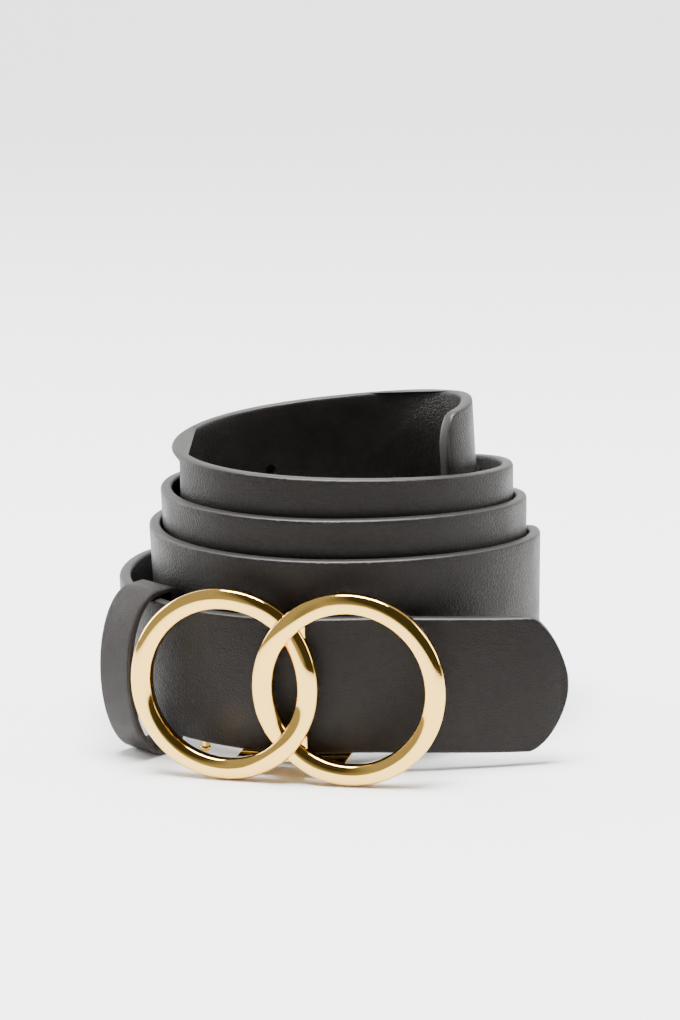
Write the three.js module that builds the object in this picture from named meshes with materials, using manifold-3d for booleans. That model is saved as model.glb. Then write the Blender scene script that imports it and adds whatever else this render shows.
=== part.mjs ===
// A double ring belt, rolled up and standing on its edge, in millimetres, +Z up, seen from -Y.
// One leather strap winds outwards in a telescoped coil, leaves it at the left, goes through a loose
// keeper loop and runs behind a buckle of two interlocked rings, to a D-shaped end.
import * as THREE from 'three';
import { mergeVertices } from 'three/addons/utils/BufferGeometryUtils.js';
import Module from 'manifold-3d';

const wasm = await Module();
wasm.setup();

// The strap
const strapWidth = 35;
const strapThickness = 3;
const strapEdge = 0.9;
const tipBow = 6.4;
const tipFullness = 2.8;
const tabBow = 9.8;
const tabFullness = 1.6;
const tabLength = 54.9;
const tabBend = 400;
const sectionStep = 5.7;

// The coil, measured on the strap's middle line where its first turn starts
const coilWidth = 79;
const coilDepth = 63.2;
const wrapGap = 0.35;
const coilRise = 50;

// The punched holes
const holeDiameter = 3.2;
const holeCount = 5;
const holeSpacing = 25;
const firstHole = 88.5;

// The two rings
const ringOuter = 48.4;
const ringBand = 5.2;
const ringDepth = 3.4;
const ringCrown = 0.9;
const ringShoulder = 0.45;
const ringSpacing = 31.6;
const ringBow = 2;
const ringLean = 4;
const ringWeave = 0.9;
const weaveReach = 32;
const ringStandoff = 2.6;
const strapSag = 1.2;

// The bracket that hooks under the strap, and its upright bar
const stemWidth = 10;
const bracketWidth = 6;
const bracketPlate = 1;
const bracketTop = -6;
const plateGap = 0.6;
const bridgeWidth = 28;
const bridgePlate = 1;
const bridgeDrop = 0.25;
const bridgeSetback = 1;
const footWidth = 3;
const footDrop = 2;
const solderBite = 0.5;
const armHeight = 5;
const armLift = 1;
const buckleTwist = 3.5;
const barDiameter = 2.4;
const barKnob = 3;
const barPlace = 27.2;
const barGap = 1;
const knobFlatness = 0.7;
const knobDrop = 2.6;

// The keeper loop
const keeperWidth = 11;
const keeperWall = 1.8;
const keeperEdge = 0.5;
const keeperPlay = 4.8;
const keeperBulge = 10.3;
const keeperBack = 1.25;
const keeperTurn = 3.575;
const keeperSkew = 11;

const fitGap = 0.35;
const buckleTurn = 3.7085;
const buckleLift = (ringOuter - strapWidth) / 2;

// The strap's course, turn by turn from the punched tip. rise is the height of its lower edge as a share of
// coilRise, perch the part of it that the buckle gives, as a share of buckleLift, out how far it stands
// outside an even coil as a share of strapThickness, and lean its outward lean in degrees.
const course = [
  { turn: -0.115, rise: 0.985, perch: -0.04, out: -1.35, lean: -3 },
  { turn: 0, rise: 0.995, perch: -0.04, out: -1.93, lean: -2 },
  { turn: 0.1, rise: 0.96, perch: -0.04, out: -1.7, lean: 0 },
  { turn: 0.25, rise: 0.885, perch: -0.04, out: -0.8, lean: 1.2 },
  { turn: 0.4, rise: 0.83, perch: -0.04, out: 0, lean: 1.2 },
  { turn: 0.5, rise: 0.805, perch: -0.04, out: 0, lean: 1.2 },
  { turn: 0.75, rise: 0.76, perch: -0.04, out: 0, lean: 1.2 },
  { turn: 1, rise: 0.645, perch: -0.04, out: 0, lean: 1.2 },
  { turn: 1.25, rise: 0.52, perch: -0.04, out: 0, lean: 1.2 },
  { turn: 1.5, rise: 0.588, perch: -0.04, out: 0, lean: 1.2 },
  { turn: 1.75, rise: 0.57, perch: -0.04, out: 0, lean: 1.2 },
  { turn: 2, rise: 0.473, perch: -0.04, out: 0, lean: 1.2 },
  { turn: 2.25, rise: 0.3, perch: -0.04, out: 0, lean: 1.2 },
  { turn: 2.5, rise: 0.4, perch: -0.04, out: 0, lean: 1.2 },
  { turn: 2.75, rise: 0.38, perch: -0.04, out: 0, lean: 1.2 },
  { turn: 3, rise: 0.28, perch: -0.04, out: 0, lean: 1.2 },
  { turn: 3.19, rise: 0, perch: 0, out: 0.5, lean: 0 },
  { turn: 3.31, rise: 0, perch: 0, out: 1, lean: 0 },
  { turn: 3.45, rise: 0, perch: 0.94, out: 1.62, lean: 0.6 },
  { turn: 3.52, rise: 0, perch: 0.96, out: 1.73, lean: 0.6 },
  { turn: 3.62, rise: 0, perch: 0.91, out: 1.25, lean: 2 },
  { turn: buckleTurn, rise: 0, perch: 1 - strapSag / buckleLift, out: 0.64, lean: 0 },
  { turn: 3.75, rise: 0, perch: 0.81, out: 0.49, lean: 0 },
  { turn: 3.95, rise: 0, perch: 0.5, out: 0.49, lean: 0 },
];
const tipTurn = course[0].turn;
const tabTurn = 3.75;
const degrees = Math.PI / 180;

// Reads a column of the course at any turn, on a curve that never overshoots the rows.
function read(column, turn) {
  const last = course.length - 2;
  const above = course.findIndex((row) => row.turn > turn);
  const i = above < 0 ? last : Math.min(Math.max(above - 1, 0), last);
  const slope = (j) => {
    const [a, b] = [course[j], course[j + 1]];
    return (b[column] - a[column]) / (b.turn - a.turn);
  };
  const tangent = (j) => {
    if (j === 0 || j === course.length - 1) return 0;
    const [a, b] = [slope(j - 1), slope(j)];
    return a * b <= 0 ? 0 : (2 * a * b) / (a + b);
  };
  const span = course[i + 1].turn - course[i].turn;
  const t = THREE.MathUtils.clamp((turn - course[i].turn) / span, 0, 1);
  return (
    (2 * t ** 3 - 3 * t ** 2 + 1) * course[i][column] +
    (t ** 3 - 2 * t ** 2 + t) * span * tangent(i) +
    (3 * t ** 2 - 2 * t ** 3) * course[i + 1][column] +
    (t ** 3 - t ** 2) * span * tangent(i + 1)
  );
}

// The strap's middle line in plan: an oval that grows by a thickness and a gap in each turn.
function coilPlace(turn) {
  const grown = (strapThickness + wrapGap) * turn + read('out', turn) * strapThickness;
  const angle = 2 * Math.PI * turn;
  return new THREE.Vector2(
    (coilWidth / 2 + grown) * Math.cos(angle),
    (coilDepth / 2 + grown) * Math.sin(angle),
  );
}

// The middle line as points a short step apart, each with its turn, height and distance from the tip.
function middleLine() {
  const fine = 0.002;
  const tabSteps = 50;
  const points = [];
  for (let turn = tipTurn; turn < tabTurn; turn += fine) points.push({ turn, place: coilPlace(turn) });
  const start = coilPlace(tabTurn);
  const heading = start.clone().sub(coilPlace(tabTurn - fine)).angle();
  const turnPerLength = (course[course.length - 1].turn - tabTurn) / tabLength;
  for (let run = 0; run <= tabLength; run += tabLength / tabSteps) {
    const bend = run / tabBend;
    const along = new THREE.Vector2(tabBend * Math.sin(bend), tabBend * (1 - Math.cos(bend)));
    const place = along.rotateAround(new THREE.Vector2(), heading).add(start);
    points.push({ turn: tabTurn + run * turnPerLength, place });
  }
  let distance = 0;
  points.forEach((point, i) => {
    if (i > 0) distance += point.place.distanceTo(points[i - 1].place);
    const lift = read('rise', point.turn) * coilRise + read('perch', point.turn) * buckleLift;
    point.distance = distance;
    point.middle = new THREE.Vector3(point.place.x, point.place.y, lift + strapWidth / 2);
  });
  return points;
}
const line = middleLine();
const strapLength = line[line.length - 1].distance;

// The strap's own axes at a distance from the tip: along it, out of its face and up its width.
function strapFrame(distance) {
  const found = line.findIndex((point) => point.distance >= distance);
  const i = Math.min(Math.max(found < 0 ? line.length - 1 : found, 1), line.length - 1);
  const [a, b] = [line[i - 1], line[i]];
  const share = (distance - a.distance) / (b.distance - a.distance);
  const before = line[Math.max(i - 3, 0)].middle;
  const after = line[Math.min(i + 2, line.length - 1)].middle;
  const along = after.clone().sub(before).normalize();
  const lean = read('lean', THREE.MathUtils.lerp(a.turn, b.turn, share)) * degrees;
  const out = flatOut({ along }).applyAxisAngle(along, lean);
  const up = along.clone().cross(out).negate();
  return { middle: a.middle.clone().lerp(b.middle, share), along, out, up };
}

const upward = new THREE.Vector3(0, 0, 1);

function flatAlong({ along }) {
  return new THREE.Vector3(along.x, along.y, 0).normalize();
}

function flatOut({ along }) {
  return new THREE.Vector3(along.y, -along.x, 0).normalize();
}

function distanceAtTurn(turn) {
  return line.find((point) => point.turn >= turn).distance;
}

// A rectangle with rounded corners, as points round it.
function roundedSection(width, height, radius) {
  const corners = [
    { x: 1, y: -1, from: -90 },
    { x: 1, y: 1, from: 0 },
    { x: -1, y: 1, from: 90 },
    { x: -1, y: -1, from: 180 },
  ];
  return corners.flatMap(({ x, y, from }) =>
    [0, 45, 90].map((step) => {
      const angle = (from + step) * degrees;
      return new THREE.Vector2(
        x * (width / 2 - radius) + radius * Math.cos(angle),
        y * (height / 2 - radius) + radius * Math.sin(angle),
      );
    }),
  );
}

// Joins sections of equal length into one closed skin, ending in flat caps or in its own start.
function loft(sections, closed) {
  const count = sections[0].length;
  const positions = sections.flat().flatMap((point) => [point.x, point.y, point.z]);
  const faces = [];
  const spans = closed ? sections.length : sections.length - 1;
  for (let i = 0; i < spans; i += 1) {
    const next = (i + 1) % sections.length;
    for (let j = 0; j < count; j += 1) {
      const k = (j + 1) % count;
      const [a, b, c, d] = [i * count + j, next * count + j, next * count + k, i * count + k];
      faces.push(a, b, c, a, c, d);
    }
  }
  const end = (sections.length - 1) * count;
  for (let j = 1; !closed && j < count - 1; j += 1) {
    faces.push(0, j, j + 1, end, end + j + 1, end + j);
  }
  const geometry = new THREE.BufferGeometry();
  geometry.setAttribute('position', new THREE.Float32BufferAttribute(positions, 3));
  geometry.setIndex(faces);
  return geometry;
}

function toSolid(source) {
  const bare = source.clone();
  bare.deleteAttribute('normal');
  bare.deleteAttribute('uv');
  const merged = mergeVertices(bare, 1e-4);
  return new wasm.Manifold(
    new wasm.Mesh({
      numProp: 3,
      vertProperties: new Float32Array(merged.attributes.position.array),
      triVerts: new Uint32Array(merged.index.array),
    }),
  );
}

function toGeometry(solid) {
  const { vertProperties, triVerts } = solid.getMesh();
  const geometry = new THREE.BufferGeometry();
  geometry.setAttribute('position', new THREE.BufferAttribute(vertProperties, 3));
  geometry.setIndex(new THREE.BufferAttribute(triVerts, 1));
  return geometry;
}

// Where the strap's sections lie: close together round its two D-shaped ends, evenly in between.
function sectionPlan() {
  const halfWidth = strapWidth / 2;
  const steps = 8;
  const firstStep = 0.6;
  const end = (bow, fullness) =>
    Array.from({ length: steps }, (_, i) => {
      const angle = ((i + firstStep) / (steps - 1 + firstStep)) * (Math.PI / 2);
      return {
        inset: bow * (1 - Math.cos(angle) ** (2 / fullness)),
        half: halfWidth * Math.sin(angle) ** (2 / fullness),
      };
    });
  const straight = strapLength - tipBow - tabBow;
  const between = Math.round(straight / sectionStep);
  const plan = end(tipBow, tipFullness).map(({ inset, half }) => ({ distance: inset, half }));
  for (let i = 1; i < between; i += 1) {
    plan.push({ distance: tipBow + (straight * i) / between, half: halfWidth });
  }
  const tab = end(tabBow, tabFullness).reverse();
  tab.forEach(({ inset, half }) => plan.push({ distance: strapLength - inset, half }));
  return plan;
}

function strapGeometry() {
  const sections = sectionPlan().map(({ distance, half }) => {
    const { middle, out, up } = strapFrame(distance);
    return roundedSection(strapThickness, 2 * half, Math.min(strapEdge, half / 2)).map((point) =>
      middle.clone().addScaledVector(out, point.x).addScaledVector(up, point.y),
    );
  });
  let strap = toSolid(loft(sections, false));
  for (let i = 0; i < holeCount; i += 1) {
    const { middle, along, out, up } = strapFrame(firstHole + i * holeSpacing);
    const punch = new THREE.CylinderGeometry(
      holeDiameter / 2, holeDiameter / 2, strapThickness + wrapGap, 12);
    punch.applyMatrix4(new THREE.Matrix4().makeBasis(along, out, up.clone().negate()).setPosition(middle));
    strap = strap.subtract(toSolid(punch));
  }
  return toGeometry(strap);
}

// The loop hangs on the strap's upper edge: flat above and below it, close behind it and bulging in front.
function keeperGeometry() {
  const seat = strapFrame(distanceAtTurn(keeperTurn));
  const axis = flatAlong(seat).applyAxisAngle(upward, keeperSkew * degrees);
  const out = new THREE.Vector3(axis.y, -axis.x, 0);
  const halfHeight = (strapWidth + keeperPlay + keeperWall) / 2;
  const centre = seat.middle.clone();
  centre.z += strapWidth / 2 + fitGap + keeperWall / 2 - halfHeight;
  const front = { flat: strapThickness / 2, reach: keeperBulge, fullness: 2 };
  const back = { flat: strapThickness / 2 + keeperBack, reach: keeperWall, fullness: 4 };
  const steps = 18;
  const side = ({ flat, reach, fullness }, sign) =>
    Array.from({ length: steps + 1 }, (_, i) => {
      const angle = (i / steps - 0.5) * Math.PI;
      const power = 2 / fullness;
      const height = Math.sign(angle) * Math.abs(Math.sin(angle)) ** power * halfHeight;
      return new THREE.Vector2(sign * (flat + reach * Math.cos(angle) ** power), sign * height);
    });
  const outline = [...side(front, 1), ...side(back, -1)];
  const count = outline.length;
  const sections = outline.map((here, i) => {
    const ahead = outline[(i + 1) % count].clone().sub(outline[(i + count - 1) % count]).normalize();
    const outward = new THREE.Vector2(ahead.y, -ahead.x);
    return roundedSection(keeperWall, keeperWidth, keeperEdge).map((point) =>
      centre.clone()
        .addScaledVector(out, here.x + outward.x * point.x)
        .addScaledVector(upward, here.y + outward.y * point.x)
        .addScaledVector(axis, -point.y),
    );
  });
  return loft(sections, true);
}

// One ring, facing -Y, its back in the plane y = 0: flat back, straight side walls, rounded shoulders and a
// low crown. It steps forward over the other ring where overAngle says and back under it at underAngle.
function ringSolid(overAngle, underAngle) {
  const middleRadius = (ringOuter - ringBand) / 2;
  const half = ringBand / 2;
  const chamfer = 0.3;
  const crownSteps = 4;
  const profile = [
    new THREE.Vector2(-half, chamfer),
    new THREE.Vector2(-half + chamfer, 0),
    new THREE.Vector2(half - chamfer, 0),
    new THREE.Vector2(half, chamfer),
  ];
  const flat = half - ringShoulder;
  const front = (x, depth) => profile.push(new THREE.Vector2(x, depth + ringCrown * (1 - (x / half) ** 2)));
  const shoulder = (side, turns) =>
    turns.forEach((turn) => {
      const x = side * (flat + ringShoulder * Math.cos(turn * degrees));
      front(x, ringDepth - ringCrown - ringShoulder * (1 - Math.sin(turn * degrees)));
    });
  shoulder(1, [0, 45, 90]);
  for (let i = 1; i < crownSteps; i += 1) front(flat - (2 * flat * i) / crownSteps, ringDepth - ringCrown);
  shoulder(-1, [90, 45, 0]);
  const near = (angle, target) => {
    const away = Math.atan2(Math.sin(angle - target), Math.cos(angle - target)) / (weaveReach * degrees);
    return Math.abs(away) < 1 ? (1 + Math.cos(Math.PI * away)) / 2 : 0;
  };
  const steps = 72;
  const sections = [];
  for (let i = 0; i < steps; i += 1) {
    const angle = (2 * Math.PI * i) / steps;
    const forward = ringWeave * (near(angle, overAngle) - near(angle, underAngle));
    sections.push(
      profile.map((point) => {
        const radius = middleRadius + point.x;
        return new THREE.Vector3(radius * Math.cos(angle), -point.y - forward, radius * Math.sin(angle));
      }),
    );
  }
  return toSolid(loft(sections, true));
}

function blockSolid(low, high) {
  const size = high.clone().sub(low);
  const block = new THREE.BoxGeometry(size.x, size.y, size.z);
  block.translate((low.x + high.x) / 2, (low.y + high.y) / 2, (low.z + high.z) / 2);
  return toSolid(block);
}

// Two interlocked rings with the bracket that holds them on the strap, soldered into one.
// Its own axes: x along the strap, y back through it and z up, from the middle of the strap.
function buckleGeometry() {
  const ringBack = -(strapThickness / 2 + ringStandoff);
  const crossing = Math.acos(ringSpacing / (ringOuter - ringBand));
  const place = (solid, side) => {
    const turned = new THREE.Matrix4().makeRotationZ(side * ringBow * degrees);
    turned.premultiply(new THREE.Matrix4().makeRotationX(-ringLean * degrees));
    turned.premultiply(new THREE.Matrix4().makeTranslation(0, ringBack, 0));
    turned.multiply(new THREE.Matrix4().makeTranslation((side * ringSpacing) / 2, 0, 0));
    return solid.transform(turned.elements);
  };
  const right = place(ringSolid(Math.PI - crossing, Math.PI + crossing), 1);
  const left = place(ringSolid(-crossing, crossing), -1);

  // A stem backs each crossing. The bridge under the strap carries a leg that hooks up to a plate behind it.
  const edge = strapWidth / 2 + fitGap;
  const lowEdge = edge + strapSag;
  const legOuter = lowEdge + bracketPlate;
  const behind = strapThickness / 2 + plateGap;
  const halfBracket = bracketWidth / 2;
  const bridgeFront = ringBack + bridgeSetback;
  const stemInner = (ringSpacing / 2) * Math.tan(crossing) - ringBand / 2;
  const leaning = Math.tan(ringLean * degrees);
  const stem = (side) => {
    const ends = [side * stemInner, side * edge].sort((a, b) => a - b);
    const front = ringBack + side * stemInner * leaning - ringWeave;
    return blockSolid(
      new THREE.Vector3(-stemWidth / 2, front, ends[0]),
      new THREE.Vector3(stemWidth / 2, -behind, ends[1]),
    );
  };
  const leg = blockSolid(
    new THREE.Vector3(-halfBracket, bridgeFront, -legOuter),
    new THREE.Vector3(halfBracket, behind + bracketPlate, -lowEdge),
  );
  const backPlate = blockSolid(
    new THREE.Vector3(-halfBracket, behind, -legOuter),
    new THREE.Vector3(halfBracket, behind + bracketPlate, bracketTop),
  );
  const bridgeTop = -(lowEdge + bridgeDrop);
  const bridge = blockSolid(
    new THREE.Vector3(-bridgeWidth / 2, bridgeFront, bridgeTop - bridgePlate),
    new THREE.Vector3(bridgeWidth / 2, behind + 2 * bracketPlate, bridgeTop),
  );

  // A foot at each end of the bridge reaches down and forward to the back of its ring.
  const foot = (side) => {
    const ends = [side * (bridgeWidth / 2 - footWidth), (side * bridgeWidth) / 2].sort((a, b) => a - b);
    return blockSolid(
      new THREE.Vector3(ends[0], ringBack - legOuter * leaning - solderBite, bridgeTop - bridgePlate - footDrop),
      new THREE.Vector3(ends[1], -strapThickness / 2, bridgeTop),
    );
  };

  // The upright bar stands behind the strap, held by an arm below the coil's middle turns.
  const barDistance = distanceAtTurn(buckleTurn) - barPlace;
  const station = strapFrame(distanceAtTurn(buckleTurn));
  const local = strapFrame(barDistance);
  const offset = local.middle.clone().addScaledVector(local.out, -(strapThickness / 2 + barGap + barDiameter / 2));
  offset.sub(station.middle);
  offset.applyAxisAngle(upward, buckleTwist * degrees);
  const barX = offset.dot(flatAlong(station));
  const barY = -offset.dot(flatOut(station));
  const barBottom = -(strapWidth / 2 + strapSag + knobDrop);
  const bar = new THREE.CylinderGeometry(barDiameter / 2, barDiameter / 2, bracketTop - barBottom, 12);
  bar.rotateX(Math.PI / 2).translate(barX, barY, (bracketTop + barBottom) / 2);
  const knob = new THREE.SphereGeometry(barKnob / 2, 12, 8);
  knob.rotateX(Math.PI / 2).scale(1, 1, knobFlatness).translate(barX, barY, barBottom);
  const armShape = new THREE.Shape([
    new THREE.Vector2(-halfBracket + bracketPlate, behind),
    new THREE.Vector2(-halfBracket + bracketPlate, behind + bracketPlate),
    new THREE.Vector2(barX, barY + bracketPlate / 2),
    new THREE.Vector2(barX, barY - bracketPlate / 2),
  ]);
  const arm = new THREE.ExtrudeGeometry(armShape, { depth: armHeight, bevelEnabled: false });
  arm.translate(0, 0, armLift - lowEdge);

  let buckle = right.add(left).add(leg).add(backPlate).add(bridge);
  [-1, 1].forEach((side) => {
    buckle = buckle.add(stem(side)).add(foot(side));
  });
  return toGeometry(buckle.add(toSolid(bar)).add(toSolid(knob)).add(toSolid(arm)));
}

const leather = new THREE.MeshStandardMaterial({ color: 0x262422, roughness: 0.5, metalness: 0 });
const keeperLeather = new THREE.MeshStandardMaterial({ color: 0x2c2a28, roughness: 0.5, metalness: 0 });
const gold = new THREE.MeshStandardMaterial({ color: 0xe6d3a8, roughness: 0.15, metalness: 1 });

function named(name, geometry, material) {
  const mesh = new THREE.Mesh(geometry, material);
  mesh.name = name;
  return mesh;
}

const strap = named('strap', strapGeometry(), leather);
const keeper = named('keeper_loop', keeperGeometry(), keeperLeather);
const buckle = named('double_ring', buckleGeometry(), gold);

// The buckle stands level on z = 0 at its station, with its own x along the strap.
const station = strapFrame(distanceAtTurn(buckleTurn));
buckle.geometry.computeBoundingBox();
buckle.position.set(station.middle.x, station.middle.y, -buckle.geometry.boundingBox.min.z);
buckle.rotation.z = Math.atan2(station.along.y, station.along.x) - buckleTwist * degrees;

// The belt stands on z = 0 with the middle of its box over the origin.
const belt = new THREE.Group();
belt.add(strap, keeper, buckle);
belt.updateMatrixWorld(true);
const box = new THREE.Box3().setFromObject(belt, true);
belt.position.set(-(box.min.x + box.max.x) / 2, -(box.min.y + box.max.y) / 2, -box.min.z);

export default belt;
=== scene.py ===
# The rolled double ring belt, dressed: leather strap, keeper band and polished gold buckle on a pale floor.
import math

import bmesh
import bpy
from mathutils import Matrix, Vector


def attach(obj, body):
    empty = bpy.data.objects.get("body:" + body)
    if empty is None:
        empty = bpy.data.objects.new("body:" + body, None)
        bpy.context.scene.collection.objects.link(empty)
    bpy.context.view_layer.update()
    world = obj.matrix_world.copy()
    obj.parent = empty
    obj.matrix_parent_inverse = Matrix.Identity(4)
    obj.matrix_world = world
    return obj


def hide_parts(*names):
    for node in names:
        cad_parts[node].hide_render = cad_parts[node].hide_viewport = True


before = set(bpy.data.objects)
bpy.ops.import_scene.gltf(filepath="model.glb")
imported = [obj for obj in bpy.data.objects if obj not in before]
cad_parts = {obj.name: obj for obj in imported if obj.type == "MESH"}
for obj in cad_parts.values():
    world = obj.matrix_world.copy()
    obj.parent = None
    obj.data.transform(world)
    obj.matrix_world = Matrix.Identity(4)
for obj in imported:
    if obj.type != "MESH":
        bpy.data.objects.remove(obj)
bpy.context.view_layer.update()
MM = 0.001

# The sizes of the solids, in millimetres, as the part's own source names them.
STRAP_WIDTH, STRAP_THICKNESS, STRAP_EDGE = 35, 3, 0.9
TIP_BOW, TIP_FULLNESS, TAB_BOW, TAB_FULLNESS = 6.4, 2.8, 9.8, 1.6
TAB_LENGTH, TAB_BEND, TAB_TURN = 54.9, 400, 3.75
COIL_WIDTH, COIL_DEPTH, WRAP_GAP, COIL_RISE = 79, 63.2, 0.35, 50
HOLE_DIAMETER, HOLE_COUNT, HOLE_SPACING, FIRST_HOLE = 3.2, 5, 25, 88.5
RING_OUTER, RING_BAND, RING_DEPTH, RING_CHAMFER = 48.4, 5.2, 3.4, 0.3
RING_CROWN, RING_SHOULDER = 0.9, 0.45
RING_SPACING, RING_BOW, RING_LEAN, RING_WEAVE, WEAVE_REACH = 31.6, 2, 4, 0.9, 32
RING_STANDOFF, STRAP_SAG = 2.6, 1.2
STEM_WIDTH, BRACKET_WIDTH, BRACKET_PLATE, BRACKET_TOP, PLATE_GAP = 10, 6, 1, -6, 0.6
BRIDGE_WIDTH, BRIDGE_PLATE, BRIDGE_DROP, BRIDGE_SETBACK = 28, 1, 0.25, 1
FOOT_WIDTH, FOOT_DROP, SOLDER_BITE, ARM_HEIGHT, ARM_LIFT = 3, 2, 0.5, 5, 1
BUCKLE_TWIST, BAR_DIAMETER, BAR_PLACE, BAR_GAP = 3.5, 2.4, 27.2, 1
BAR_KNOB, KNOB_FLATNESS, KNOB_DROP = 3, 0.7, 2.6
KEEPER_WIDTH, KEEPER_WALL, KEEPER_EDGE, KEEPER_PLAY, KEEPER_BULGE = 11, 1.8, 0.5, 4.8, 10.3
KEEPER_BACK, KEEPER_TURN, KEEPER_SKEW = 1.25, 3.575, 11
FIT_GAP, BUCKLE_TURN = 0.35, 3.7085
BUCKLE_LIFT = (RING_OUTER - STRAP_WIDTH) / 2
# The stems reach less far left than the solid ones, because none shows there.
STEM_LEFT = 2

# From the coil's own axes to the frame, and the camera's place in the frame.
SHIFT = Vector((3.715, 6.94, 0))
CAMERA = Vector((3.43, -748.87, 258.05))

# The strap's course from the punched tip: turn, rise, perch, out and lean, as in the part's source.
COURSE = [
    (-0.115, 0.985, -0.04, -1.35, -3), (0, 0.995, -0.04, -1.93, -2), (0.1, 0.96, -0.04, -1.7, 0),
    (0.25, 0.885, -0.04, -0.8, 1.2), (0.4, 0.83, -0.04, 0, 1.2), (0.5, 0.805, -0.04, 0, 1.2),
    (0.75, 0.76, -0.04, 0, 1.2), (1, 0.645, -0.04, 0, 1.2), (1.25, 0.52, -0.04, 0, 1.2),
    (1.5, 0.588, -0.04, 0, 1.2), (1.75, 0.57, -0.04, 0, 1.2), (2, 0.473, -0.04, 0, 1.2),
    (2.25, 0.3, -0.04, 0, 1.2), (2.5, 0.4, -0.04, 0, 1.2), (2.75, 0.38, -0.04, 0, 1.2),
    (3, 0.28, -0.04, 0, 1.2), (3.19, 0, 0, 0.5, 0), (3.31, 0, 0, 1, 0), (3.45, 0, 0.94, 1.62, 0.6),
    (3.52, 0, 0.96, 1.73, 0.6), (3.62, 0, 0.91, 1.25, 2),
    (BUCKLE_TURN, 0, 1 - STRAP_SAG / BUCKLE_LIFT, 0.64, 0),
    (3.75, 0, 0.81, 0.49, 0), (3.95, 0, 0.5, 0.49, 0),
]
RISE, PERCH, OUT, LEAN = 1, 2, 3, 4


def read(column, turn):
    """A column of the course at any turn, on a curve that never overshoots the rows."""
    last = len(COURSE) - 2
    above = next((i for i, row in enumerate(COURSE) if row[0] > turn), last + 1)
    i = min(max(above - 1, 0), last)

    def slope(j):
        a, b = COURSE[j], COURSE[j + 1]
        return (b[column] - a[column]) / (b[0] - a[0])

    def tangent(j):
        if j in (0, len(COURSE) - 1):
            return 0
        a, b = slope(j - 1), slope(j)
        return 0 if a * b <= 0 else 2 * a * b / (a + b)

    span = COURSE[i + 1][0] - COURSE[i][0]
    t = min(max((turn - COURSE[i][0]) / span, 0), 1)
    return (
        (2 * t**3 - 3 * t**2 + 1) * COURSE[i][column]
        + (t**3 - 2 * t**2 + t) * span * tangent(i)
        + (3 * t**2 - 2 * t**3) * COURSE[i + 1][column]
        + (t**3 - t**2) * span * tangent(i + 1)
    )


def coil_place(turn):
    grown = (STRAP_THICKNESS + WRAP_GAP) * turn + read(OUT, turn) * STRAP_THICKNESS
    angle = 2 * math.pi * turn
    return Vector(((COIL_WIDTH / 2 + grown) * math.cos(angle), (COIL_DEPTH / 2 + grown) * math.sin(angle)))


def middle_line():
    """The middle line as (turn, point, distance in plan, length along it), a short step apart."""
    fine, tab_steps = 0.002, 50
    places = []
    turn = COURSE[0][0]
    while turn < TAB_TURN:
        places.append((turn, coil_place(turn)))
        turn += fine
    start = coil_place(TAB_TURN)
    before = start - coil_place(TAB_TURN - fine)
    heading = Matrix.Rotation(math.atan2(before.y, before.x), 2)
    for i in range(tab_steps + 1):
        run = i * TAB_LENGTH / tab_steps
        bent = run / TAB_BEND
        place = heading @ Vector((TAB_BEND * math.sin(bent), TAB_BEND * (1 - math.cos(bent)))) + start
        places.append((TAB_TURN + run * (COURSE[-1][0] - TAB_TURN) / TAB_LENGTH, place))
    line, plan, length, last = [], 0, 0, None
    for turn, place in places:
        lift = read(RISE, turn) * COIL_RISE + read(PERCH, turn) * BUCKLE_LIFT + STRAP_WIDTH / 2
        point = Vector((place.x, place.y, lift))
        if last:
            plan += (point - last).xy.length
            length += (point - last).length
        line.append((turn, point, plan, length))
        last = point
    return line


LINE = middle_line()
PLAN, LENGTH = 2, 3
STRAP_LENGTH = LINE[-1][LENGTH]


def seek(column, value):
    """The step of the middle line that holds a value of one of its columns, and the share within it."""
    i = max(next((k for k, point in enumerate(LINE) if point[column] >= value), len(LINE) - 1), 1)
    a, b = LINE[i - 1][column], LINE[i][column]
    return i, (value - a) / (b - a)


def along_line(wanted, column, value):
    """One column of the middle line where another has a value."""
    i, share = seek(column, value)
    a, b = LINE[i - 1][wanted], LINE[i][wanted]
    return a + (b - a) * share


def station(plan):
    """Middle, level direction along the strap and level direction out of its face, at a plan distance."""
    i, share = seek(PLAN, plan)
    middle = LINE[i - 1][1].lerp(LINE[i][1], share)
    along = LINE[min(i + 2, len(LINE) - 1)][1] - LINE[max(i - 3, 0)][1]
    along = Vector((along.x, along.y, 0)).normalized()
    return middle, along, Vector((along.y, -along.x, 0))


def distance_at(turn):
    return next(point[PLAN] for point in LINE if point[0] >= turn)


# Modelling helpers
def lone(obj=None):
    bpy.ops.object.select_all(action="DESELECT")
    if obj:
        obj.select_set(True)
        bpy.context.view_layer.objects.active = obj


def block(name, low, high):
    """A box between two corners in metres, its place in its mesh."""
    lone()
    middle = [(a + b) / 2 for a, b in zip(low, high)]
    bpy.ops.mesh.primitive_cube_add(size=1, location=middle, scale=[b - a for a, b in zip(low, high)])
    bpy.context.object.name = name
    bpy.ops.object.transform_apply()
    return bpy.context.object


def choose(obj, kind, test):
    """Selects the vertices, edges or faces of obj that pass the test, and nothing else."""
    bpy.ops.mesh.select_all(action="DESELECT")
    bpy.ops.mesh.select_mode(type={"verts": "VERT", "edges": "EDGE", "faces": "FACE"}[kind])
    mesh = bmesh.from_edit_mesh(obj.data)
    for item in getattr(mesh, kind):
        if test(item):
            item.select_set(True)
    mesh.select_flush_mode()
    bmesh.update_edit_mesh(obj.data)


def modify(obj, kind, **settings):
    lone(obj)
    modifier = obj.modifiers.new(kind.lower(), kind)
    for key, value in settings.items():
        setattr(modifier, key, value)
    bpy.ops.object.modifier_apply(modifier=modifier.name)


def smooth(obj, degrees):
    lone(obj)
    bpy.ops.object.shade_smooth_by_angle(angle=math.radians(degrees))


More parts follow.
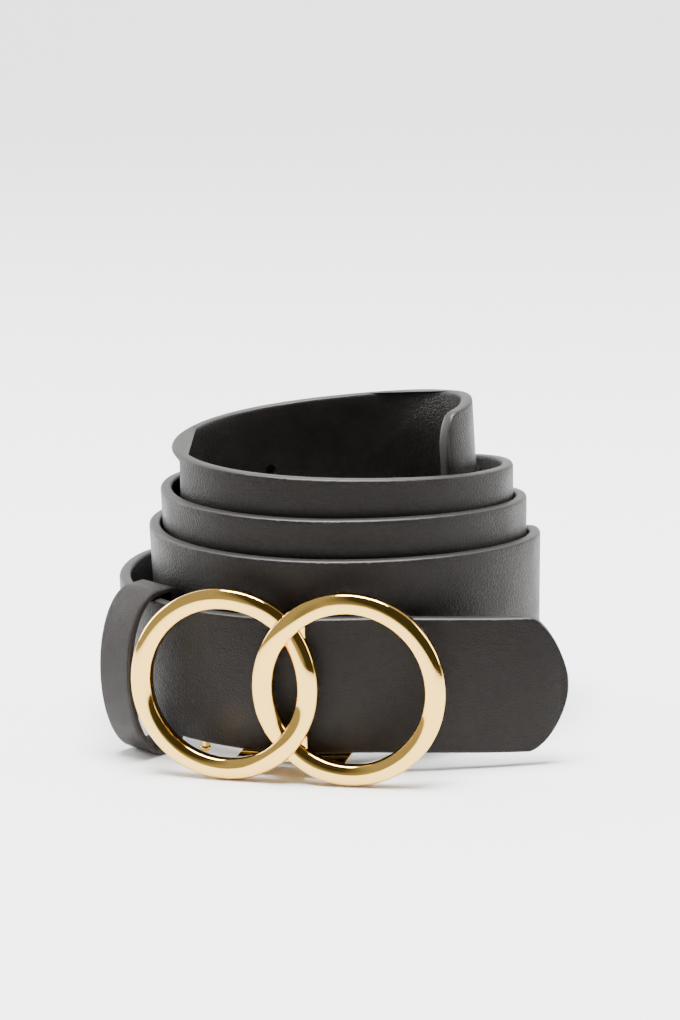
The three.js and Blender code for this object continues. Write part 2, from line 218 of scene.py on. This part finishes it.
def guide(name, points, tilts=None, closed=False):
    """A curve of straight spans that a flat piece is bent along, its Z kept upright."""
    data = bpy.data.curves.new(name, "CURVE")
    data.dimensions = "3D"
    data.twist_mode = "Z_UP"
    spline = data.splines.new("POLY")
    spline.points.add(len(points) - 1)
    for i, point in enumerate(points):
        spline.points[i].co = (*point, 1)
        spline.points[i].tilt = tilts[i] if tilts else 0
    spline.use_cyclic_u = closed
    obj = bpy.data.objects.new(name, data)
    bpy.context.scene.collection.objects.link(obj)
    return obj


def bend(obj, curve):
    modify(obj, "CURVE", object=curve, deform_axis="POS_X")
    bpy.data.objects.remove(curve)


def place(obj, origin, turn=Matrix.Identity(3)):
    """Turns obj and moves it to origin in millimetres, and puts both in its mesh."""
    obj.matrix_world = Matrix.Translation(Vector(origin) * MM) @ turn.to_4x4()
    lone(obj)
    bpy.ops.object.transform_apply()


def band(name, length, width, thickness, edge, spans, from_x=0):
    """A flat band along X with rounded long edges, cut into even spans so that it can bend."""
    obj = block(name, (from_x, -thickness / 2, -width / 2), (from_x + length, thickness / 2, width / 2))
    bpy.ops.object.mode_set(mode="EDIT")

    def lengthwise(e):
        return abs(e.verts[0].co.x - e.verts[1].co.x) > 1e-9

    choose(obj, "edges", lengthwise)
    bpy.ops.mesh.bevel(offset=edge, segments=4, profile=0.5, affect="EDGES")
    for cuts in spans:
        choose(obj, "edges", lengthwise)
        bpy.ops.mesh.subdivide(number_cuts=cuts - 1)
    bpy.ops.object.mode_set(mode="OBJECT")
    return obj


def hexed(code):
    """A linear colour from an sRGB hex code."""
    parts = [int(code[i : i + 2], 16) / 255 for i in (0, 2, 4)]
    return [c / 12.92 if c <= 0.04045 else ((c + 0.055) / 1.055) ** 2.4 for c in parts] + [1]


# Materials
def material(name):
    made = bpy.data.materials.new(name)
    made.use_nodes = True
    return made, made.node_tree, made.node_tree.nodes["Principled BSDF"]


def add(tree, kind, links=None, **inputs):
    """A node of a kind with values on its inputs, linked from {input: output socket}."""
    made = tree.nodes.new(kind)
    for key, value in inputs.items():
        if hasattr(made, key):
            setattr(made, key, value)
        else:
            made.inputs[key.replace("_", " ")].default_value = value
    for key, source in (links or {}).items():
        tree.links.new(source, made.inputs[key])
    return made


def leather(name, dark, light, grain, rough):
    """Coated leather: a fine pebble of grain mm with creases between, and soft mottling in its sheen."""
    made, tree, shader = material(name)
    where = add(tree, "ShaderNodeTexCoord").outputs["Object"]
    mottle = add(tree, "ShaderNodeTexNoise", {"Vector": where}, Scale=1 / (9 * MM), Detail=4.0)
    tone = add(tree, "ShaderNodeMix", {"Factor": mottle.outputs["Fac"]}, data_type="RGBA")
    tone.inputs["A"].default_value = hexed(dark)
    tone.inputs["B"].default_value = hexed(light)
    tree.links.new(tone.outputs["Result"], shader.inputs["Base Color"])
    swirl = add(tree, "ShaderNodeTexNoise", {"Vector": where}, Scale=1 / (2 * grain * MM), Detail=2.0)
    drift = add(tree, "ShaderNodeVectorMath", {0: swirl.outputs["Color"]}, operation="SCALE")
    drift.inputs["Scale"].default_value = grain * MM
    moved = add(tree, "ShaderNodeVectorMath", {0: where, 1: drift.outputs[0]}, operation="ADD").outputs[0]
    pebble = add(
        tree, "ShaderNodeTexVoronoi", {"Vector": moved}, feature="DISTANCE_TO_EDGE", Scale=1 / (grain * MM))
    dome = add(tree, "ShaderNodeMapRange", {"Value": pebble.outputs["Distance"]}, From_Max=0.3)
    fine = add(tree, "ShaderNodeTexNoise", {"Vector": where}, Scale=1 / (0.4 * grain * MM), Detail=3.0)
    height = add(tree, "ShaderNodeMath", {0: dome.outputs["Result"], 1: fine.outputs["Fac"]}, operation="ADD")
    bump = add(tree, "ShaderNodeBump", {"Height": height.outputs[0]}, Strength=0.8, Distance=0.08 * MM)
    tree.links.new(bump.outputs["Normal"], shader.inputs["Normal"])
    worn = add(tree, "ShaderNodeMath", {0: fine.outputs["Fac"], 1: mottle.outputs["Fac"]}, operation="ADD")
    sheen = add(tree, "ShaderNodeMapRange", {"Value": worn.outputs[0]}, From_Min=0.7, From_Max=1.3)
    sheen.inputs["To Min"].default_value = rough - 0.08
    sheen.inputs["To Max"].default_value = rough + 0.1
    tree.links.new(sheen.outputs["Result"], shader.inputs["Roughness"])
    shader.inputs["Specular IOR Level"].default_value = 0.18
    shader.inputs["Specular Tint"].default_value = hexed("fff8f3")
    return made


def paint(name, colour, rough):
    """Edge paint on cut leather: duller than the face, with slight waves along it."""
    made, tree, shader = material(name)
    where = add(tree, "ShaderNodeTexCoord").outputs["Object"]
    wave = add(tree, "ShaderNodeTexNoise", {"Vector": where}, Scale=1 / (2.5 * MM), Detail=2.0)
    bump = add(tree, "ShaderNodeBump", {"Height": wave.outputs["Fac"]}, Strength=0.15, Distance=0.1 * MM)
    tree.links.new(bump.outputs["Normal"], shader.inputs["Normal"])
    sheen = add(tree, "ShaderNodeMapRange", {"Value": wave.outputs["Fac"]}, To_Min=rough - 0.05)
    sheen.inputs["To Max"].default_value = rough + 0.08
    tree.links.new(sheen.outputs["Result"], shader.inputs["Roughness"])
    shader.inputs["Base Color"].default_value = hexed(colour)
    return made


def plated(name, colour, rough):
    """Polished plating with the faint uneven gloss of a cast and buffed surface."""
    made, tree, shader = material(name)
    where = add(tree, "ShaderNodeTexCoord").outputs["Object"]
    buff = add(tree, "ShaderNodeTexNoise", {"Vector": where}, Scale=1 / (6 * MM), Detail=3.0)
    sheen = add(tree, "ShaderNodeMapRange", {"Value": buff.outputs["Fac"]}, To_Min=rough, To_Max=rough + 0.06)
    tree.links.new(sheen.outputs["Result"], shader.inputs["Roughness"])
    bump = add(tree, "ShaderNodeBump", {"Height": buff.outputs["Fac"]}, Strength=0.05, Distance=0.2 * MM)
    tree.links.new(bump.outputs["Normal"], shader.inputs["Normal"])
    shader.inputs["Base Color"].default_value = hexed(colour)
    shader.inputs["Metallic"].default_value = 1
    return made


strap_leather = leather("strap_leather", "0c0b0a", "131110", 0.85, 0.42)
keeper_leather = leather("keeper_leather", "100e0d", "171412", 0.5, 0.43)
strap_paint = paint("strap_edge_paint", "151210", 0.5)
keeper_paint = paint("keeper_edge_paint", "1b1715", 0.5)
gold = plated("gold_plating", "f0c468", 0.05)


def dress(obj, slot, *materials):
    for item in materials:
        obj.data.materials.append(item)
    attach(obj, "root")


# The strap, modelled flat: its ends are drawn out in narrowing steps, its holes are cut, then it is coiled.
def strap_end(obj, end_x, sign, bow, fullness):
    steps = 14
    choose(obj, "faces", lambda f: sign * f.normal.x > 0.9 and abs(f.calc_center_median().x - end_x) < 1e-6)
    done, half, deep = 0, STRAP_WIDTH / 2, STRAP_THICKNESS / 2
    for i in range(steps - 1, -1, -1):
        angle = (i + 0.6) / (steps - 0.4) * math.pi / 2
        inset = bow * (1 - math.cos(angle) ** (2 / fullness))
        new_half = STRAP_WIDTH / 2 * math.sin(angle) ** (2 / fullness)
        left = max(STRAP_EDGE - inset, 0)
        new_deep = STRAP_THICKNESS / 2 - STRAP_EDGE + math.sqrt(STRAP_EDGE**2 - left**2) if left else deep
        new_deep = max(new_deep, STRAP_THICKNESS / 2 - STRAP_EDGE * 0.75)
        out = (bow - inset) * MM
        bpy.ops.mesh.extrude_region_move(TRANSFORM_OT_translate={"value": (sign * (out - done), 0, 0)})
        bpy.ops.transform.resize(
            value=(1, new_deep / deep, new_half / half), center_override=(end_x + sign * out, 0, 0))
        done, half, deep = out, new_half, new_deep


def make_strap():
    length = STRAP_LENGTH - TIP_BOW - TAB_BOW
    width, thickness, edge = STRAP_WIDTH * MM, STRAP_THICKNESS * MM, STRAP_EDGE * MM
    obj = band("belt_strap", length * MM, width, thickness, edge, (20, 20), TIP_BOW * MM)
    lone(obj)
    bpy.ops.object.mode_set(mode="EDIT")
    strap_end(obj, TIP_BOW * MM, -1, TIP_BOW, TIP_FULLNESS)
    strap_end(obj, (TIP_BOW + length) * MM, 1, TAB_BOW, TAB_FULLNESS)
    bpy.ops.object.mode_set(mode="OBJECT")

    for i in range(HOLE_COUNT):
        lone()
        at = along_line(LENGTH, PLAN, FIRST_HOLE + i * HOLE_SPACING)
        bpy.ops.mesh.primitive_cylinder_add(
            vertices=32, radius=HOLE_DIAMETER / 2 * MM, depth=2 * STRAP_THICKNESS * MM,
            location=(at * MM, 0, 0), rotation=(math.pi / 2, 0, 0))
        punch = bpy.context.object
        modify(obj, "BOOLEAN", object=punch, operation="DIFFERENCE", solver="EXACT")
        bpy.data.objects.remove(punch)

    dress(obj, "strap_leather", strap_leather, strap_paint)
    rim = (STRAP_WIDTH / 2 - STRAP_EDGE * 0.5) * MM
    for face in obj.data.polygons:
        x, z = face.center.x / MM, abs(face.center.z)
        ends = x < TIP_BOW or x > STRAP_LENGTH - TAB_BOW
        if abs(face.normal.y) < 0.75 and (z > rim or ends):
            face.material_index = 1
    step = 2
    points, tilts = [], []
    for length in [i * step for i in range(int(STRAP_LENGTH / step) + 1)] + [STRAP_LENGTH]:
        points.append(along_line(1, LENGTH, length) * MM)
        tilts.append(math.radians(read(LEAN, along_line(0, LENGTH, length))))
    bend(obj, guide("strap_course", points, tilts))
    place(obj, SHIFT)
    smooth(obj, 40)
    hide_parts("strap")
    return obj


# The keeper: a band with a small butt joint at the back, closed round its outline, then hung on the strap.
def make_keeper():
    half_height = (STRAP_WIDTH + KEEPER_PLAY + KEEPER_WALL) / 2
    steps = 48

    def side(flat, reach, fullness, sign):
        points = []
        for i in range(steps + 1):
            angle = (i / steps - 0.5) * math.pi
            power = 2 / fullness
            height = math.copysign(abs(math.sin(angle)) ** power * half_height, angle)
            bulge = reach * max(math.cos(angle), 0) ** power
            points.append(Vector((sign * (flat + bulge), sign * height, 0)))
        return points

    outline = side(STRAP_THICKNESS / 2, KEEPER_BULGE, 2, 1)
    outline += side(STRAP_THICKNESS / 2 + KEEPER_BACK, KEEPER_WALL, 4, -1)
    joint = round(0.75 * len(outline))
    around = outline[joint:] + outline[:joint]
    length = sum((b - a).length for a, b in zip(around, around[1:] + around[:1]))
    width, thickness, edge = KEEPER_WIDTH * MM, KEEPER_WALL * MM, KEEPER_EDGE * MM
    obj = band("keeper_band", length * MM, width, thickness, edge, (16, 12))
    dress(obj, "keeper_leather", keeper_leather, keeper_paint)
    for face in obj.data.polygons:
        if abs(face.normal.z) > 0.6:
            face.material_index = 1
    bend(obj, guide("keeper_course", [point * MM for point in around], closed=True))
    lone(obj)
    bpy.ops.object.mode_set(mode="EDIT")
    bpy.ops.mesh.select_all(action="SELECT")
    bpy.ops.mesh.remove_doubles(threshold=0.05 * MM)
    bpy.ops.object.mode_set(mode="OBJECT")
    middle, along, _ = station(distance_at(KEEPER_TURN))
    axis = Matrix.Rotation(math.radians(KEEPER_SKEW), 3, "Z") @ along
    out = Vector((axis.y, -axis.x, 0))
    middle = middle + Vector((0, 0, STRAP_WIDTH / 2 + FIT_GAP + KEEPER_WALL / 2 - half_height))
    place(obj, middle + SHIFT, Matrix((out, (0, 0, 1), -axis)).transposed())
    smooth(obj, 40)
    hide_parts("keeper_loop")
    return obj


# The buckle: each ring is one profile spun round, eased forward and back at the crossings.
def make_ring(name, side, over, under):
    lone()
    radius = (RING_OUTER - RING_BAND) / 2 * MM
    bpy.ops.mesh.primitive_plane_add(size=1)
    obj = bpy.context.object
    obj.name = name
    flat = (RING_DEPTH - RING_CROWN) * MM
    obj.scale = (RING_BAND * MM, flat, 1)
    obj.location = (radius, -flat / 2, 0)
    bpy.ops.object.transform_apply()
    bpy.ops.object.mode_set(mode="EDIT")
    front, half = -flat, RING_BAND / 2 * MM
    choose(obj, "verts", lambda v: v.co.y < front / 2)
    bpy.ops.mesh.bevel(offset=RING_SHOULDER * MM, segments=5, profile=0.5, affect="VERTICES")
    choose(obj, "verts", lambda v: v.co.y > front / 2)
    bpy.ops.mesh.bevel(offset=RING_CHAMFER * MM, segments=3, profile=0.5, affect="VERTICES")
    choose(obj, "edges", lambda e: all(abs(v.co.y - front) < 1e-7 for v in e.verts))
    bpy.ops.mesh.subdivide(number_cuts=15)
    choose(obj, "verts", lambda v: abs(v.co.y - front) < 1e-7 and abs(v.co.x - radius) < 1e-6)
    bpy.ops.transform.translate(
        value=(0, -RING_CROWN * MM, 0), use_proportional_edit=True,
        proportional_edit_falloff="INVERSE_SQUARE", proportional_size=half)
    bpy.ops.mesh.select_all(action="SELECT")
    bpy.ops.mesh.delete(type="ONLY_FACE")
    bpy.ops.mesh.select_all(action="SELECT")
    bpy.ops.mesh.spin(steps=144, angle=2 * math.pi, center=(0, 0, 0), axis=(0, 1, 0), use_auto_merge=True)
    bpy.ops.mesh.select_all(action="SELECT")
    bpy.ops.mesh.remove_doubles(threshold=0.001 * MM)
    bpy.ops.mesh.normals_make_consistent(inside=False)
    for angle, forward in ((over, RING_WEAVE), (under, -RING_WEAVE)):
        here, near = Vector((math.cos(angle), math.sin(angle))), math.cos(math.radians(1.3))
        choose(obj, "verts", lambda v: Vector((v.co.x, v.co.z)).normalized().dot(here) > near)
        bpy.ops.transform.translate(
            value=(0, -forward * MM, 0), use_proportional_edit=True, proportional_edit_falloff="SMOOTH",
            proportional_size=radius * math.radians(WEAVE_REACH), use_proportional_connected=False)
    bpy.ops.object.mode_set(mode="OBJECT")
    dress(obj, "gold_metal", gold)
    place(obj, (side * RING_SPACING / 2, 0, 0))
    lean = Matrix.Rotation(math.radians(-RING_LEAN), 3, "X")
    bow = Matrix.Rotation(math.radians(side * RING_BOW), 3, "Z")
    place(obj, (0, -(STRAP_THICKNESS / 2 + RING_STANDOFF), 0), lean @ bow)
    smooth(obj, 35)
    return obj


def eased(name, low, high, edge=0.25):
    """A metal block between two corners in millimetres, its edges broken."""
    obj = block(name, [c * MM for c in low], [c * MM for c in high])
    modify(obj, "BEVEL", width=edge * MM, segments=3, limit_method="ANGLE")
    return obj


def make_buckle():
    crossing = math.acos(RING_SPACING / (RING_OUTER - RING_BAND))
    rings = [
        make_ring("ring_right", 1, math.pi - crossing, math.pi + crossing),
        make_ring("ring_left", -1, -crossing, crossing),
    ]
    back = -(STRAP_THICKNESS / 2 + RING_STANDOFF)
    edge = STRAP_WIDTH / 2 + FIT_GAP
    low_edge = edge + STRAP_SAG
    leg_outer = low_edge + BRACKET_PLATE
    behind = STRAP_THICKNESS / 2 + PLATE_GAP
    half, half_bridge = BRACKET_WIDTH / 2, BRIDGE_WIDTH / 2
    front = back + BRIDGE_SETBACK
    lean = math.tan(math.radians(RING_LEAN))
    stem_in = RING_SPACING / 2 * math.tan(crossing) - RING_BAND / 2
    top = -(low_edge + BRIDGE_DROP)
    pieces = [
        eased("leg", (-half, front, -leg_outer), (half, behind + BRACKET_PLATE, -low_edge)),
        eased("plate", (-half, behind, -leg_outer), (half, behind + BRACKET_PLATE, BRACKET_TOP)),
        eased("bridge", (-half_bridge, front, top - BRIDGE_PLATE),
              (half_bridge, behind + 2 * BRACKET_PLATE, top)),
    ]
    for side in (-1, 1):
        ends = sorted((side * stem_in, side * edge))
        stem_front = back + side * stem_in * lean - RING_WEAVE
        pieces.append(
            eased("stem", (-STEM_LEFT, stem_front, ends[0]), (STEM_WIDTH / 2, -behind, ends[1]), 0.4))
        ends = sorted((side * (half_bridge - FOOT_WIDTH), side * half_bridge))
        foot_front = back - leg_outer * lean - SOLDER_BITE
        pieces.append(eased("foot", (ends[0], foot_front, top - BRIDGE_PLATE - FOOT_DROP),
                            (ends[1], -STRAP_THICKNESS / 2, top)))

    home, along, out = station(distance_at(BUCKLE_TURN))
    at, _, at_out = station(distance_at(BUCKLE_TURN) - BAR_PLACE)
    offset = at - at_out * (STRAP_THICKNESS / 2 + BAR_GAP + BAR_DIAMETER / 2) - home
    offset = Matrix.Rotation(math.radians(BUCKLE_TWIST), 3, "Z") @ offset
    bar_x, bar_y = offset.dot(along), -offset.dot(out)
    low = -(STRAP_WIDTH / 2 + STRAP_SAG + KNOB_DROP)
    lone()
    bpy.ops.mesh.primitive_cylinder_add(
        vertices=48, radius=BAR_DIAMETER / 2 * MM, depth=(BRACKET_TOP - low) * MM,
        location=(bar_x * MM, bar_y * MM, (BRACKET_TOP + low) / 2 * MM))
    bar = bpy.context.object
    bpy.ops.object.transform_apply()
    modify(bar, "BEVEL", width=0.3 * MM, segments=3, limit_method="ANGLE")
    lone()
    bpy.ops.mesh.primitive_uv_sphere_add(
        segments=48, ring_count=24, radius=BAR_KNOB / 2 * MM, location=(bar_x * MM, bar_y * MM, low * MM),
        scale=(1, 1, KNOB_FLATNESS))
    knob = bpy.context.object
    bpy.ops.object.transform_apply()
    start = Vector((BRACKET_PLATE - half, behind + BRACKET_PLATE / 2, 0))
    reach = Vector((bar_x, bar_y, 0)) - start
    deep, arm_low = BRACKET_PLATE / 2, ARM_LIFT - low_edge
    arm = eased("arm", (0, -deep, arm_low), (reach.length, deep, arm_low + ARM_HEIGHT))
    place(arm, start, Matrix.Rotation(math.atan2(reach.y, reach.x), 3, "Z"))
    lone(pieces[0])
    for piece in pieces[1:] + [bar, knob, arm]:
        piece.select_set(True)
    bpy.ops.object.join()
    bracket = pieces[0]
    bracket.name = "buckle_bracket"
    dress(bracket, "gold_metal", gold)
    smooth(bracket, 35)
    heading = math.atan2(along.y, along.x) - math.radians(BUCKLE_TWIST)
    tall = math.radians(RING_LEAN)
    height = RING_OUTER / 2 * math.cos(tall) - RING_CHAMFER * math.sin(tall)
    for obj in rings + [bracket]:
        place(obj, Vector((home.x, home.y, height)) + SHIFT, Matrix.Rotation(heading, 3, "Z"))
        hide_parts("double_ring")


make_strap()
make_keeper()
make_buckle()


# The pale studio: a floor that curves up behind, soft light from both sides and above.
DARK_SIDE, DARK_EDGE, ROOM_LIGHT, BACKDROP_GLOW = (0.5, -1, 0.75), (0.55, 0.75), 0.6, 1.7


def make_floor():
    lone()
    bpy.ops.mesh.primitive_plane_add(size=4, location=(0, 0, -0.0001))
    obj = bpy.context.object
    obj.name = "studio_floor"
    bpy.ops.object.transform_apply()
    bpy.ops.object.mode_set(mode="EDIT")
    choose(obj, "edges", lambda e: all(v.co.y > 1.9 for v in e.verts))
    bpy.ops.mesh.extrude_region_move(TRANSFORM_OT_translate={"value": (0, 0, 2.5)})
    choose(obj, "edges", lambda e: all(v.co.y > 1.9 and v.co.z < 1 for v in e.verts))
    bpy.ops.mesh.bevel(offset=0.8, segments=24, profile=0.5, affect="EDGES")
    bpy.ops.object.mode_set(mode="OBJECT")
    made, tree, shader = material("studio_paper")
    where = add(tree, "ShaderNodeTexCoord").outputs["Object"]
    speck = add(tree, "ShaderNodeTexNoise", {"Vector": where}, Scale=300.0, Detail=3.0)
    bump = add(tree, "ShaderNodeBump", {"Height": speck.outputs["Fac"]}, Strength=0.05, Distance=0.0002)
    tree.links.new(bump.outputs["Normal"], shader.inputs["Normal"])
    # The paper glows more the farther it lies from the middle. This is painted light that keeps the far
    # backdrop evenly bright, while the floor near the belt takes only the lamps' light and shadows.
    away = add(tree, "ShaderNodeVectorMath", {0: where}, operation="LENGTH")
    glow = add(tree, "ShaderNodeMapRange", {"Value": away.outputs["Value"]}, From_Min=0.4, From_Max=2.2)
    glow.inputs["To Max"].default_value = BACKDROP_GLOW
    tree.links.new(glow.outputs["Result"], shader.inputs["Emission Strength"])
    shader.inputs["Emission Color"].default_value = hexed("ffffff")
    shader.inputs["Base Color"].default_value = hexed("ececec")
    shader.inputs["Roughness"].default_value = 0.7
    obj.data.materials.append(made)
    smooth(obj, 40)


def soft_light(name, where, size, watts):
    data = bpy.data.lights.new(name, "AREA")
    data.shape = "RECTANGLE"
    data.size, data.size_y = size
    data.energy = watts
    obj = bpy.data.objects.new(name, data)
    bpy.context.scene.collection.objects.link(obj)
    obj.location = where
    obj.rotation_euler = (Vector((0, 0, 0.04)) - Vector(where)).to_track_quat("-Z", "Y").to_euler()


def make_room():
    """The room round the table: bright walls, and a grey patch to the right, above and behind the camera."""
    world = bpy.context.scene.world or bpy.data.worlds.new("studio")
    bpy.context.scene.world = world
    world.use_nodes = True
    tree = world.node_tree
    toward = add(tree, "ShaderNodeTexCoord").outputs["Generated"]
    patch = add(tree, "ShaderNodeVectorMath", {0: toward}, operation="DOT_PRODUCT")
    patch.inputs[1].default_value = Vector(DARK_SIDE).normalized()
    edge = add(tree, "ShaderNodeMapRange", {"Value": patch.outputs["Value"]}, From_Min=DARK_EDGE[0])
    edge.inputs["From Max"].default_value = DARK_EDGE[1]
    room = add(tree, "ShaderNodeMix", {"Factor": edge.outputs["Result"]}, data_type="RGBA")
    room.inputs["A"].default_value = hexed("f4f5f8")
    room.inputs["B"].default_value = hexed("5a5a52")
    back = tree.nodes["Background"]
    tree.links.new(room.outputs["Result"], back.inputs["Color"])
    back.inputs["Strength"].default_value = ROOM_LIGHT


def make_studio():
    make_floor()
    make_room()
    soft_light("left_box", (-0.85, 0.45, 0.35), (0.6, 0.5), 13)
    soft_light("right_box", (0.95, 0.1, 0.45), (0.7, 0.6), 11)
    soft_light("top_box", (0.0, -0.12, 1.2), (0.8, 0.5), 75)


def make_camera():
    data = bpy.data.cameras.new("photo_camera")
    data.sensor_width = 36
    data.lens = 106.7
    data.clip_start, data.clip_end = 0.05, 20
    obj = bpy.data.objects.new("photo_camera", data)
    bpy.context.scene.collection.objects.link(obj)
    right, down = Vector((0.99945, -0.00858, -0.03203)), Vector((-0.03316, -0.25868, -0.96539))
    forward = Vector((0.0, 0.96593, -0.25882))
    turn = Matrix((right, -down, -forward)).transposed().to_4x4()
    obj.matrix_world = Matrix.Translation(CAMERA * MM) @ turn
    bpy.context.scene.camera = obj


make_studio()
make_camera()
